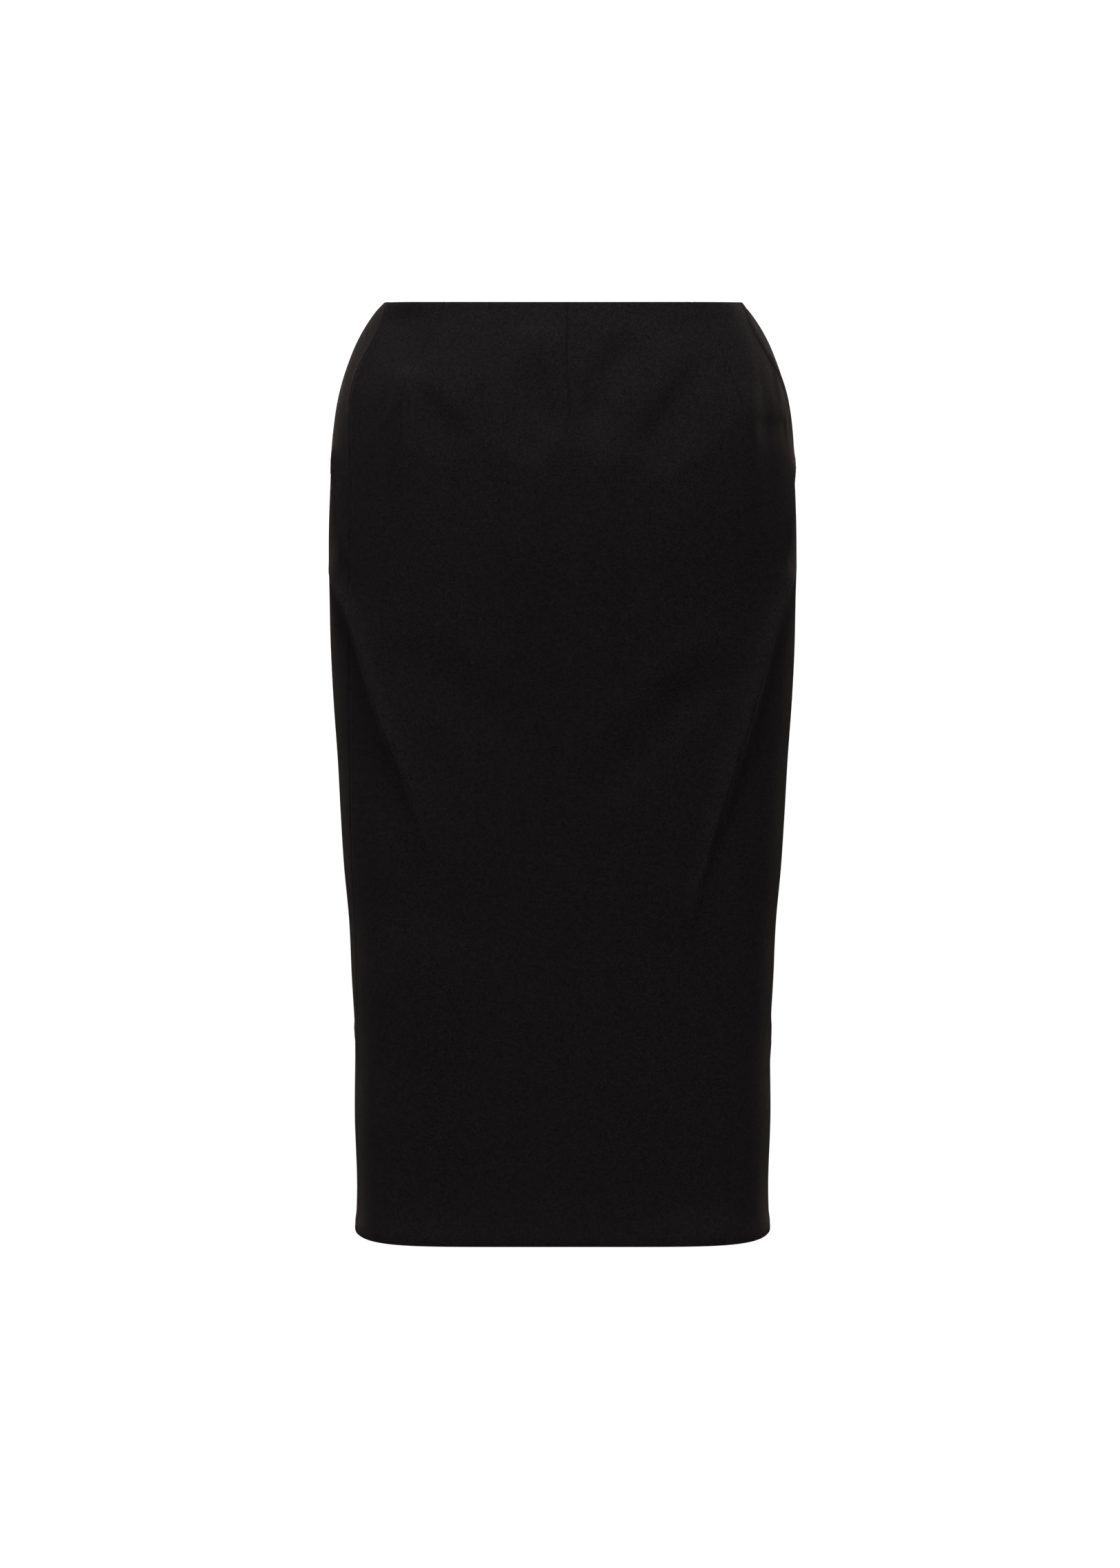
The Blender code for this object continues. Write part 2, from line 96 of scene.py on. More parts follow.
# Thread, by its radius, and what is sewn with it
THREAD = 0.13
STITCH_LENGTH = 2.4
STITCH_PITCH = 3.1
STITCH_RISE = 0.9
OVERLOCK_PITCH = 2.4
OVERLOCK_DEPTH = 4.5
OVERLOCK_MARGIN = 3.0
HEM_OVERLOCK_MARGIN = 2.0
BLIND_STITCH_PITCH = 9.0
BLIND_STITCH_MARGIN = 8.0
BLIND_STITCH_ACROSS = 3.2
BLIND_STITCH_ABOVE = 1.4
BLIND_STITCH_DOWN = 2.6
BLIND_STITCH_DEPTHS = (EDGE_FOLD, EDGE_FOLD + 0.25, EDGE_FOLD, EDGE_FOLD - 1.0, CLOTH_THICK)

# drop, half width, front depth, back depth, widest point's shift back, flatness, roundness
SECTIONS = (
    (0, 131.7, 93.0, 89.0, 3, 2.05, 2.05),
    (6, 137.9, 95.0, 92.0, 11, 2.05, 2.05),
    (14, 144.1, 97.5, 96.0, 17, 2.05, 2.05),
    (29, 153.0, 101.5, 102.0, 20, 2.08, 2.08),
    (45, 159.6, 105.0, 107.5, 15, 2.10, 2.10),
    (67, 166.3, 108.5, 113.5, 9, 2.13, 2.12),
    (98, 171.3, 111.0, 119.5, 7, 2.18, 2.13),
    (134, 173.4, 112.0, 123.5, 5, 2.25, 2.14),
    (175, 174.6, 112.0, 125.0, 4, 2.35, 2.15),
    (216, 174.2, 110.5, 124.0, 3, 2.50, 2.17),
    (257, 173.4, 108.5, 120.5, 2, 2.70, 2.20),
    (299, 171.3, 106.0, 115.5, 1, 2.95, 2.23),
    (340, 168.4, 103.5, 110.5, 0, 3.25, 2.26),
    (381, 166.2, 101.0, 106.0, 0, 3.65, 2.30),
    (421, 163.8, 98.5, 101.5, 0, 4.10, 2.34),
    (463, 160.0, 96.0, 98.0, 0, 4.60, 2.38),
    (504, 158.2, 94.0, 95.0, 0, 5.05, 2.42),
    (546, 156.0, 92.5, 93.0, 0, 5.45, 2.45),
    (608, 156.4, 91.0, 91.0, 0, 5.90, 2.47),
    (671, 154.9, 90.0, 90.0, 0, 6.30, 2.50),
    (684, 155.5, 90.6, 90.6, 0, 6.40, 2.50),
    (691, 156.5, 91.4, 91.4, 0, 6.40, 2.50),
    (695, 156.3, 91.4, 91.4, 0, 6.40, 2.50),
)

# How far the side seams lie forward of the skirt's middle: drop, right seam, left seam
SIDE_SEAMS = (
    (0, 21, 7),
    (8, 27, 13),
    (18, 31, 18),
    (30, 34, 18),
    (42, 34, 15),
    (54, 35, 11),
    (67, 38, 9),
    (89, 45, 8),
    (115, 50, 8),
    (180, 55, 9),
    (260, 54, 13),
    (430, 47, 20),
    (600, 37, 25),
    (695, 34, 27),
)

# Darts: drop, and how far round from the centre front, or from the centre back on the back
SIDE_DART_RIGHT = ((0, -90), (12, -95), (28, -103), (43, -110), (57, -117), (70, -120), (86, -120))
CENTRE_DART = ((0, 3.0), (45, 3.2), (88, 5.2))
SIDE_DART_LEFT = ((0, 102), (14, 112), (28, 120), (50, 130), (66, 135), (84, 137))
BACK_DART = ((0, 84), (60, 90), (115, 94))

# Each front dart, the side it lies on, and the side its take-up is pressed to
FRONT_DARTS = (
    (SIDE_DART_RIGHT, RIGHT, LEFT),
    (CENTRE_DART, LEFT, RIGHT),
    (SIDE_DART_LEFT, LEFT, RIGHT),
)

# Soft swells (plus) and hollows (minus) of the cloth. The crest's places run from its start to
# its end as (round, drop); then height, half width on the crest's upper side and on its lower
# one, and the shares of its length over which it rises and fades
SWELLS = (
    (((-24, 32), (-15, 70), (-4, 108)), -2.3, 8, 14, 0.40, 0.40),
    (((54, 18), (33, 48), (22, 78), (17, 108)), -3.3, 9, 15, 0.35, 0.35),
    (((120, 30), (94, 60), (76, 86), (58, 118)), -1.9, 12, 16, 0.35, 0.40),
    (((-110, 58), (-92, 86), (-72, 118)), -1.6, 11, 16, 0.30, 0.45),
    (((-106, 44), (-90, 64), (-68, 88)), 1.4, 24, 9, 0.40, 0.40),
    (((106, 22), (80, 54), (60, 80), (42, 106)), 1.7, 18, 9, 0.40, 0.35),
    (((-44, 25), (-18, 26), (8, 25)), 2.8, 9, 30, 0.45, 0.45),
    (((-168, 15), (-130, 13), (-96, 13)), -2.6, 8, 30, 0.30, 0.40),
    (((-119, 42), (-120, 90), (-118, 196)), 4.2, 12, 12, 0.10, 0.85),
    (((139, 48), (144, 100), (140, 206)), 3.4, 15, 15, 0.22, 0.80),
    (((-216, 118), (-210, 152), (-202, 192)), -1.8, 12, 14, 0.30, 0.30),
    (((-146, 96), (-134, 83), (-123, 66)), 0.5, 4, 4, 0.30, 0.30),
    (((150, 56), (172, 60), (194, 62)), -1.0, 30, 16, 0.45, 0.20),
    (((146, 93), (170, 92), (200, 94)), -0.9, 8, 11, 0.25, 0.10),
    (((150, 240), (98, 248), (60, 278), (34, 312), (8, 352)), 1.0, 13, 14, 0.40, 0.35),
    (((150, 272), (106, 280), (72, 306), (46, 338), (14, 376)), -1.7, 15, 15, 0.40, 0.35),
    (((-150, 250), (-96, 270), (-50, 308), (-26, 346)), -1.6, 20, 20, 0.30, 0.40),
    (((118, 338), (106, 376), (96, 410), (86, 460)), -1.6, 9, 12, 0.30, 0.40),
    (((-158, 514), (-124, 502), (-99, 484), (-86, 450)), 2.0, 34, 50, 0.30, 0.35),
    (((-62, 400), (-70, 450), (-84, 520)), -1.0, 18, 20, 0.30, 0.40),
    (((88, 430), (94, 540), (104, 690)), -2.6, 24, 30, 0.20, 0.10),
    (((-96, 540), (-98, 620), (-96, 690)), -1.5, 26, 28, 0.20, 0.10),
    (((-262, 205), (-330, 262), (-400, 350)), 2.2, 12, 12, 0.20, 0.50),
    (((262, 212), (322, 258), (392, 330)), 2.4, 12, 12, 0.20, 0.50),
    (((-282, 238), (-345, 308), (-400, 402)), -1.8, 18, 18, 0.20, 0.50),
    (((280, 242), (342, 306), (398, 380)), -1.6, 18, 18, 0.20, 0.50),
    (((-198, 534), (-180, 553), (-160, 572)), 1.0, 8, 8, 0.20, 0.50),
    (((212, 536), (192, 555), (170, 572)), 1.0, 8, 8, 0.20, 0.50),
)

# Creases where the cloth above rises to a sharp line and hangs over a sunk trough outside it.
# The line's places; the rise's height and width; the width of the fall at the line's start and
# end; the trough's depth and width; and the shares of the length over which it grows and fades
CREASES = (
    (((-232, 194), (-206, 203), (-191, 211), (-175, 223), (-160, 246), (-148, 274), (-135, 306),
      (-119, 344), (-104, 386), (-92, 430)), 6.6, 6.5, 14, 28, 0.8, 20, 0.22, 0.45),
    (((232, 194), (206, 203), (192, 211), (177, 224), (162, 248), (151, 278), (140, 307),
      (126, 344), (111, 390), (99, 440), (92, 490)), 6.4, 6.5, 26, 8, 1.0, 18, 0.22, 0.45),
    (((-222, 100), (-207, 114), (-197, 130), (-188, 150), (-181, 174), (-172, 208)),
     5.2, 4.5, 10.0, 16, 1.2, 16, 0.34, 0.35),
    (((226, 110), (209, 128), (201, 150), (195, 175), (187, 200)),
     2.6, 12, 6.0, 8, 0.5, 11, 0.22, 0.45),
)
CREASE_ROUND = 2.0

# The belly fills the cloth out down to a wavy edge, whose tips lie between the pulls above it:
# how far round, the edge's drop, and the height there
BELLY = (
    (-170, 70, 0.0),
    (-135, 62, 0.4),
    (-112, 54, 1.6),
    (-92, 62, 1.2),
    (-66, 92, 1.6),
    (-42, 110, 3.6),
    (-18, 121, 5.8),
    (-2, 108, 2.9),
    (13, 108, 3.2),
    (31, 120, 6.2),
    (50, 112, 3.6),
    (66, 130, 5.0),
    (88, 120, 5.4),
    (112, 102, 4.2),
    (134, 86, 2.8),
    (165, 80, 0.0),
)
BELLY_RISE = 30.0
BELLY_FALL = 120.0
BELLY_ROUND = 3.0

# The side seams' pressed edges stand a little proud to either side of the stitching, and each
# seam is a soft corner down to the hip. Below it this share of the ridges is left
SEAM_RIDGE = 0.5
SEAM_RIDGE_AT = 2.2
SEAM_RIDGE_WIDTH = 1.9
SEAM_RIDGE_LEFT = 0.35
SEAM_CORNER = {LEFT: 1.2, RIGHT: 1.5}
SEAM_CORNER_WIDTH = 6.5
SEAM_CORNER_ROUND = 0.8
SEAM_CORNER_FADE = 80.0
SEAM_SHARP_TO = 80.0
SEAM_SOFT_FROM = 130.0

# A dart is a fine groove, with its take-up pressed to one side, and fades towards its point
DART_GROOVE = 0.35
DART_GROOVE_WIDTH = 0.65
DART_PRESSED = 0.30
DART_PRESSED_AT = 3.2
DART_PRESSED_WIDTH = 2.6
DART_NARROWEST = 0.35
DART_POINT_FADE = 14.0

# Faint level ripples at the sides, where the cloth is drawn round the thighs
RIPPLE_HEIGHT = 0.055
RIPPLE_LENGTH = 1.35
RIPPLES_AT = 172
RIPPLES_HALF_WIDTH = 26
RIPPLES_FROM = 70
RIPPLES_EASE = 60

# How finely the cloth is divided. A path's steps, and the samples between two of its places;
# the steps in a quarter of a turned edge's curl; the rows turned in and turned up; the rows
# between, as the drop that a band goes down to and the most between two of its rows; the
# columns of a pressed allowance, as shares of its width; and the columns beside a dart
PATH_STEPS = 48
PATH_SAMPLES = 24
CURL_STEPS = 5
WAIST_ROWS = 6
HEM_ROWS = 7
ROW_BANDS = (
    (120.0, 2.6),
    (195.0, 3.2),
    (300.0, 2.2),
    (430.0, 3.2),
    (SKIRT_LENGTH - EDGE_FOLD / 2, 6.2),
)
ALLOWANCE_SHARES = (1.0, 0.75, 0.5, 0.25, 0.12)
DART_OFFSETS = (-3.4, -1.7, -0.8, 0.0, 0.8, 1.7, 3.4)
DART_OFFSETS_GROW = 1.2
DART_OFFSETS_EASE = 60.0
ABOUT_DART = [1] * (len(DART_OFFSETS) - 1)
FRONT_COUNTS = [42, *ABOUT_DART, 32, *ABOUT_DART, 32, *ABOUT_DART, 42]
BACK_COUNTS_LEFT = [56, *ABOUT_DART, 28]
BACK_COUNTS_RIGHT = BACK_COUNTS_LEFT[::-1]

# Columns lie closer together along the creases, by this many times more
GATHER = 3.0
GATHER_WIDTH = 9.0
GATHER_FADE = 40.0

# Painted shade: seams and darts are coloured a little darker within about this distance of the
# stitching
SHADE_WIDTH = 0.7
BACK_SHADE_WIDTH = 0.9
DART_SHADE_FADE = 10.0


def ease(t):
    """A smooth step from 0 to 1."""
    t = np.clip(t, 0.0, 1.0)
    return t * t * (3 - 2 * t)


def bell(away, width):
    """1 on a line, and next to nothing from about two widths away."""
    return np.exp(-((away / width) ** 2))


def soft_distance(away, radius):
    """The distance from a line, rounded off where it starts."""
    return np.hypot(away, radius) - radius


def at_drop(table, drops):
    """A table's other columns at each drop, on a smooth curve through its rows."""
    rows = np.array(table, dtype=float)
    drops = np.asarray(drops, dtype=float)
    knots = rows[:, 0]
    slopes = np.gradient(rows, knots, axis=0)
    above = np.clip(np.searchsorted(knots, drops) - 1, 0, len(knots) - 2)
    span = (knots[above + 1] - knots[above])[..., None]
    t = (drops - knots[above])[..., None] / span
    start = (2 * t**3 - 3 * t**2 + 1) * rows[above] + (t**3 - 2 * t**2 + t) * span * slopes[above]
    end = (3 * t**2 - 2 * t**3) * rows[above + 1] + (t**3 - t**2) * span * slopes[above + 1]
    return (start + end)[..., 1:]


def placed(name, data):
    """A new object in the scene."""
    item = bpy.data.objects.new(name, data)
    bpy.context.scene.collection.objects.link(item)
    return item


class Rings:
    """Level sections at a list of drops, measured round the cloth from the centre front."""

    SAMPLES = 601

    def __init__(self, drops):
        self.drops = np.clip(np.asarray(drops, dtype=float), 0.0, SKIRT_LENGTH)
        half, front, back, shift, flatness, roundness = at_drop(SECTIONS, self.drops).T
        self.half, self.shift, self.flatness, self.roundness = half, shift, flatness, roundness
        share = np.linspace(0.0, 1.0, self.SAMPLES)
        turn = math.pi / 2 * share**2 / (share**2 + (1 - share) ** 2)
        self.x = half[:, None] * np.sin(turn) ** (2 / flatness[:, None])
        level = np.cos(turn)
        level[-1] = 0.0
        self.depth = (front + shift, back - shift)
        self.y = [depth[:, None] * level ** (2 / roundness[:, None]) for depth in self.depth]
        self.round = []
        for y in self.y:
            steps = np.hypot(np.diff(self.x, axis=1), np.diff(y, axis=1))
            start = np.zeros((len(half), 1))
            self.round.append(np.concatenate((start, np.cumsum(steps, axis=1)), axis=1))
        self.to_widest = self.round[0][:, -1]
        self.to_back = self.to_widest + self.round[1][:, -1]

    def place(self, around):
        """Points and level outward directions at lengths round, one row of them per drop."""
        to_back = self.to_back[:, None]
        past = np.abs(around) > to_back
        side = np.where(around >= 0, LEFT, RIGHT) * np.where(past, -1, 1)
        length = np.where(past, 2 * to_back - np.abs(around), np.abs(around))
        facing = np.where(length <= self.to_widest[:, None], -1, 1)
        x, y, depth = (np.empty_like(length) for _ in range(3))
        for row in range(len(self.drops)):
            ahead = facing[row] < 0
            for half, chosen in ((0, ahead), (1, ~ahead)):
                reach = length[row][chosen]
                if half:
                    reach = self.to_back[row] - reach
                x[row][chosen] = np.interp(reach, self.round[half][row], self.x[row])
                y[row][chosen] = np.interp(reach, self.round[half][row], self.y[half][row])
                depth[row][chosen] = self.depth[half][row]
        flatness = self.flatness[:, None]
        roundness = self.roundness[:, None]
        half = self.half[:, None]
        sideways = flatness * (x / half) ** (flatness - 1) / half
        endways = roundness * (y / depth) ** (roundness - 1) / depth
        size = np.hypot(sideways, endways)
        normal = np.stack((side * sideways / size, facing * endways / size), axis=-1)
        return np.stack((side * x, self.shift[:, None] + facing * y), axis=-1), normal

    def seam(self, side):
        """How far round each level's side seam lies."""
        forward = at_drop(SIDE_SEAMS, self.drops)[:, 1 if side == LEFT else 0]
        depth = self.shift + forward
        found = [
            np.interp(depth[row], self.y[0][row][::-1], self.round[0][row][::-1])
            for row in range(len(self.drops))
        ]
        return side * np.array(found)


# ---------------- folds, darts and unevenness


def smooth_path(places):
    """Points along a smooth curve through a few places, evenly spaced."""
    places = np.array(places, dtype=float)
    ahead = np.concatenate((2 * places[:1] - places[1:2], places, 2 * places[-1:] - places[-2:-1]))
    points = []
    for first in range(len(places) - 1):
        a, b, c, d = ahead[first:first + 4]
        t = np.linspace(0.0, 1.0, PATH_SAMPLES, endpoint=first == len(places) - 2)[:, None]
        points.append(0.5 * (
            2 * b + (c - a) * t + (2 * a - 5 * b + 4 * c - d) * t**2
            + (3 * b - a - 3 * c + d) * t**3
        ))
    points = np.concatenate(points)
    reach = np.concatenate(([0.0], np.cumsum(np.hypot(*np.diff(points, axis=0).T))))
    even = np.linspace(0.0, reach[-1], PATH_STEPS + 1)
    return np.stack([np.interp(even, reach, points[:, axis]) for axis in (0, 1)], axis=1)


def near_path(path, around, drop):
    """Distance from a path, the share of its length, and which side, for arrays of points."""
    best = np.full(around.shape, np.inf)
    along = np.zeros(around.shape)
    hand = np.zeros(around.shape)
    for index in range(PATH_STEPS if around.size else 0):
        start = path[index]
        run = path[index + 1] - start
        size = run @ run
        from_start = (around - start[0], drop - start[1])
        share = np.clip((from_start[0] * run[0] + from_start[1] * run[1]) / size, 0.0, 1.0)
        apart = (from_start[0] - share * run[0], from_start[1] - share * run[1])
        away = np.hypot(*apart)
        nearer = away < best
        best = np.where(nearer, away, best)
        along = np.where(nearer, (index + share) / PATH_STEPS, along)
        hand = np.where(nearer, np.sign(run[0] * apart[1] - run[1] * apart[0]), hand)
    return best, along, hand


def beside_path(places, reach, around, drop):
    """Points within a reach of a path's box: which, how far off, how far along, and which side.

    The side is 1 on the path's lower side and -1 on its upper one.
    """
    path = smooth_path(places)
    low = path.min(axis=0) - reach
    high = path.max(axis=0) + reach
    chosen = (around > low[0]) & (around < high[0]) & (drop > low[1]) & (drop < high[1])
    away, along, hand = near_path(path, around[chosen], drop[chosen])
    lean = 1 if places[-1][0] >= places[0][0] else -1
    return chosen, away, along, hand * lean


def swell_lift(swell, around, drop):
    """A soft swell or hollow along its path."""
    places, height, upper_width, lower_width, rise, fall = swell
    reach = 3 * max(upper_width, lower_width)
    chosen, away, along, below = beside_path(places, reach, around, drop)
    width = np.where(below < 0, upper_width, lower_width)
    strength = ease(along / rise) * ease((1 - along) / fall)
    lift = np.zeros(around.shape)
    lift[chosen] = height * strength * bell(away, width)
    return lift


def crease_lift(crease, around, drop):
    """A sharp line that the cloth rises to on one side, and falls from into a trough."""
    places, height, foot, fall_start, fall_end, trough, trough_width, grow, fade = crease
    reach = max(3 * trough_width, 5 * foot, fall_end)
    chosen, away, along, below = beside_path(places, reach, around, drop)
    out = away * np.where(below > 0, 1, -1)
    strength = ease(along / grow) * ease((1 - along) / fade)
    rising = height * np.exp(-soft_distance(out, CREASE_ROUND) / foot)
    width = fall_start + (fall_end - fall_start) * along
    fallen = 1 - (1 - np.clip(out / width, 0.0, 1.0)) ** 3
    outside = height * (1 - fallen) - trough * fallen
    beyond = -trough * bell(np.maximum(out - width, 0.0), trough_width)
    profile = np.where(out < 0, rising, np.where(out < width, outside, beyond))
    lift = np.zeros(around.shape)
    lift[chosen] = strength * profile
    return lift


def belly_lift(around, drop):
    """The fullness over the belly, rising down to its wavy edge and falling away below it."""
    edge, height = np.moveaxis(at_drop(BELLY, np.clip(around, BELLY[0][0], BELLY[-1][0])), -1, 0)
    above = edge - drop
    rising = np.exp(-soft_distance(above, BELLY_ROUND) / BELLY_RISE)
    return height * np.where(above > 0, rising, bell(above, BELLY_FALL))


def dart_line(dart, drop):
    """A dart's stitching line at each drop, which keeps to its last place past its point."""
    return at_drop(dart, np.clip(drop, 0.0, dart[-1][0]))[..., 0]


def dart_lift(dart, around, drop, towards):
    """A dart's groove, and its take-up pressed towards one side."""
    length = dart[-1][0]
    away = around - dart_line(dart, drop)
    fade = ease((length - drop) / DART_POINT_FADE)
    groove = DART_GROOVE * bell(away, DART_GROOVE_WIDTH)
    wide = np.clip(1 - drop / length, 0.0, 1.0)
    width = DART_PRESSED_AT * (DART_NARROWEST + (1 - DART_NARROWEST) * wide)
    pressed = DART_PRESSED * bell(away - towards * width, DART_PRESSED_WIDTH)
    return fade * (pressed - groove)


def unevenness(around, drop):
    """Slight waviness that even pressed cloth keeps: long waves, shorter ones and slanted ones."""
    long = np.sin(around / 31.0 + 0.8 * np.sin(drop / 53.0)) * np.sin(drop / 47.0 + 1.1)
    short = np.sin(around / 17.3 + 2.1) * np.sin(drop / 71.0 + 0.6 * np.sin(around / 41.0))
    slanted = np.sin((around + drop) / 23.0 + 0.7) * np.sin((around - drop) / 37.0)
    return 0.10 * long + 0.07 * short + 0.05 * slanted


def side_ripples(around, drop):
    """The level ripples at the sides, which waver and lean a little."""
    at_side = bell(np.abs(around) - RIPPLES_AT, RIPPLES_HALF_WIDTH)
    strength = at_side * ease((drop - RIPPLES_FROM) / RIPPLES_EASE)
    wavering = 1.7 * np.sin(drop / 19.0) + around / 14.0
    return RIPPLE_HEIGHT * strength * np.sin(drop / RIPPLE_LENGTH + wavering)


def seam_lift(around, drop, seams):
    """The side seams' pressed edges and soft corners, which fade below the hip."""
    sharpness = ease((SEAM_SOFT_FROM - drop) / (SEAM_SOFT_FROM - SEAM_SHARP_TO))
    corner = ease((SEAM_SOFT_FROM - drop) / SEAM_CORNER_FADE)
    lift = np.zeros(around.shape)
    for side, seam in seams.items():
        away = np.abs(around - seam)
        height = SEAM_RIDGE * (SEAM_RIDGE_LEFT + (1 - SEAM_RIDGE_LEFT) * sharpness)
        lift += height * bell(away - SEAM_RIDGE_AT, SEAM_RIDGE_WIDTH)
        apart = soft_distance(away, SEAM_CORNER_ROUND)
        lift += SEAM_CORNER[side] * corner * np.exp(-apart / SEAM_CORNER_WIDTH)
    return lift


def cloth_lift(around, drop, to_back, seams):
    """How far the cloth stands out from its level sections."""
    lift = unevenness(around, drop) + side_ripples(around, drop)
    lift += seam_lift(around, drop, seams) + belly_lift(around, drop)
    for swell in SWELLS:
        lift += swell_lift(swell, around, drop)
    for crease in CREASES:
        lift += crease_lift(crease, around, drop)
    for dart, _, towards in FRONT_DARTS:
        lift += dart_lift(dart, around, drop, towards)
    return lift + dart_lift(BACK_DART, to_back - np.abs(around), drop, RIGHT)


def outer_face(drops, around):
    """Points of the cloth's outer face, one row per drop."""
    rings = Rings(drops)
    place, normal = rings.place(around)
    level = np.broadcast_to(rings.drops[:, None], around.shape)
    to_back = np.broadcast_to(rings.to_back[:, None], around.shape)
    seams = {side: np.broadcast_to(rings.seam(side)[:, None], around.shape)
             for side in (LEFT, RIGHT)}
    place = place + normal * cloth_lift(around, level, to_back, seams)[..., None]
    return np.concatenate((place, -level[..., None]), axis=-1)


def outer_directions(drops, around):
    """The outer face's outward directions, and how it runs on for each millimetre of drop."""
    step = 0.6
    drops = np.asarray(drops, dtype=float)
    across = outer_face(drops, around + step) - outer_face(drops, around - step)
    down = outer_face(drops + step, around) - outer_face(drops - step, around)
    normal = np.cross(down, across)
    return normal / np.linalg.norm(normal, axis=-1, keepdims=True), down / -down[..., 2:]


# ---------------- panels


def fold_row(angle, fold):
    """A row round the waist's fold (1) or the hem's (-1): at 0 outside, at pi turned in."""
    inside = (1 - math.cos(angle)) / 2
    crest = math.sin(angle)
    from_edge = EDGE_FOLD / 2 * (1 - crest)
    drop = from_edge if fold > 0 else SKIRT_LENGTH - from_edge
    return drop, EDGE_FOLD * inside, inside, fold * crest


def row_plan():
    """Rows of a panel from the waist's raw edge to the hem's.

    Each row has its drop, its sink, whether it's on the turned side, and how far it's on a
    fold's crest: 1 on the waist's, -1 on the hem's.
    """
    turn = EDGE_FOLD / 2
    clear_of_curl = 0.6
    turned_in = np.linspace(WAIST_TURN, turn + clear_of_curl, WAIST_ROWS)
    rows = [(drop, EDGE_FOLD, 1.0, 0.0) for drop in turned_in]
    angles = np.linspace(math.pi, 0.0, 2 * CURL_STEPS + 1)
    rows += [fold_row(angle, 1) for angle in angles]
    for bottom, step in ROW_BANDS:
        top = rows[-1][0]
        count = int(math.ceil((bottom - top) / step))
        rows += [(top + (bottom - top) * i / count, 0.0, 0.0, 0.0) for i in range(1, count + 1)]
    rows += [fold_row(angle, -1) for angle in angles[-2::-1]]
    turned_up = np.linspace(SKIRT_LENGTH - turn, SKIRT_LENGTH - HEM_TURN_UP, HEM_ROWS + 1)[1:]
    rows += [(drop, EDGE_FOLD, 1.0, 0.0) for drop in turned_up]
    return np.array(rows)


def edge_columns():
    """A panel's seamed edge from its raw edge out: place from the edge, sink, and if pressed.

    The pressed allowance's places are shares of its width, and the turned edge's are lengths.
    """
    turn = ALLOWANCE_SINK / 2
    columns = [(share, ALLOWANCE_SINK, True) for share in ALLOWANCE_SHARES]
    for angle in np.linspace(math.pi, 0.0, CURL_STEPS + 2):
        columns.append((turn * (1 - math.sin(angle)), turn * (1 - math.cos(angle)), False))
    return columns


def gathered(start, end, count, drops):
    """Places between two stop lines, one row per drop, closer together along the creases."""
    samples = 241
    share = np.linspace(0.0, 1.0, samples)
    place = start[:, None] + (end - start)[:, None] * share
    density = np.ones(place.shape)
    for crease in CREASES:
        path = smooth_path(crease[0])
        crest = np.interp(drops, path[:, 1], path[:, 0])[:, None]
        past = np.maximum(path[0, 1] - drops, drops - path[-1, 1])
        fade = ease(1 - past / GATHER_FADE)[:, None]
        density += GATHER * fade * bell(place - crest, GATHER_WIDTH)
    reach = np.cumsum(density, axis=1) - density[:, :1]
    wanted = np.arange(1, count) / count
    return np.stack([
        np.interp(wanted * reach[row, -1], reach[row], place[row]) for row in range(len(drops))
    ])


def panel_grid(drops, lines, counts, start_width, end_width):
    """Places round, and each column's sink, for a panel's turned allowances and its middle.

    lines are the places round, for each row, of the first edge, the inner stop lines and the
    last edge; counts are the columns between each two of them.
    """
    first, last = lines[0], lines[-1]
    turn = ALLOWANCE_SINK / 2
    inner = [first + turn, *lines[1:-1], last - turn]
    middle = []
    for index, count in enumerate(counts):
        if index:
            middle.append(inner[index][:, None])
        if count > 1:
            middle.append(gathered(inner[index], inner[index + 1], count, drops))
    edge = edge_columns()
    reaches = [place * start_width if pressed else place for place, _, pressed in edge]
    opening = np.stack([first + reach for reach in reaches], axis=1)
    reaches = [place * end_width if pressed else place for place, _, pressed in edge[::-1]]
    closing = np.stack([last - reach for reach in reaches], axis=1)
    middle = np.concatenate(middle, axis=1)
    around = np.concatenate((opening, middle, closing), axis=1)
    sink = [sink for _, sink, _ in edge]
    return around, np.array(sink + [0.0] * middle.shape[1] + sink[::-1])


def cloth_object(name, points, uv, painted_seam_shade, finish):
    """A sheet through a grid of points in millimetres, thickened inwards."""
    count_rows, count_columns = points.shape[:2]
    index = np.arange(count_rows * count_columns).reshape(count_rows, count_columns)
    faces = np.stack(
        (index[:-1, :-1], index[1:, :-1], index[1:, 1:], index[:-1, 1:]), axis=-1
    ).reshape(-1, 4)
    mesh = bpy.data.meshes.new(name)
    mesh.from_pydata((points.reshape(-1, 3) * MM).tolist(), [], faces.tolist())
    layer = mesh.uv_layers.new(name="weave")
    loops = np.zeros(len(mesh.loops), dtype=np.int32)
    mesh.loops.foreach_get("vertex_index", loops)
    layer.data.foreach_set("uv", uv.reshape(-1, 2)[loops].astype(np.float32).ravel())
    # The seams' and darts' painted shade, kept on the points for the material
    shade = mesh.attributes.new("painted_seam_shade", "FLOAT", "POINT")
    shade.data.foreach_set("value", painted_seam_shade.reshape(-1).astype(np.float32))
    mesh.materials.append(finish)
    mesh.shade_smooth()
    item = placed(name, mesh)
    thicken = item.modifiers.new("thickness", "SOLIDIFY")
    thicken.thickness = CLOTH_THICK * MM
    thicken.offset = -1.0
    return item


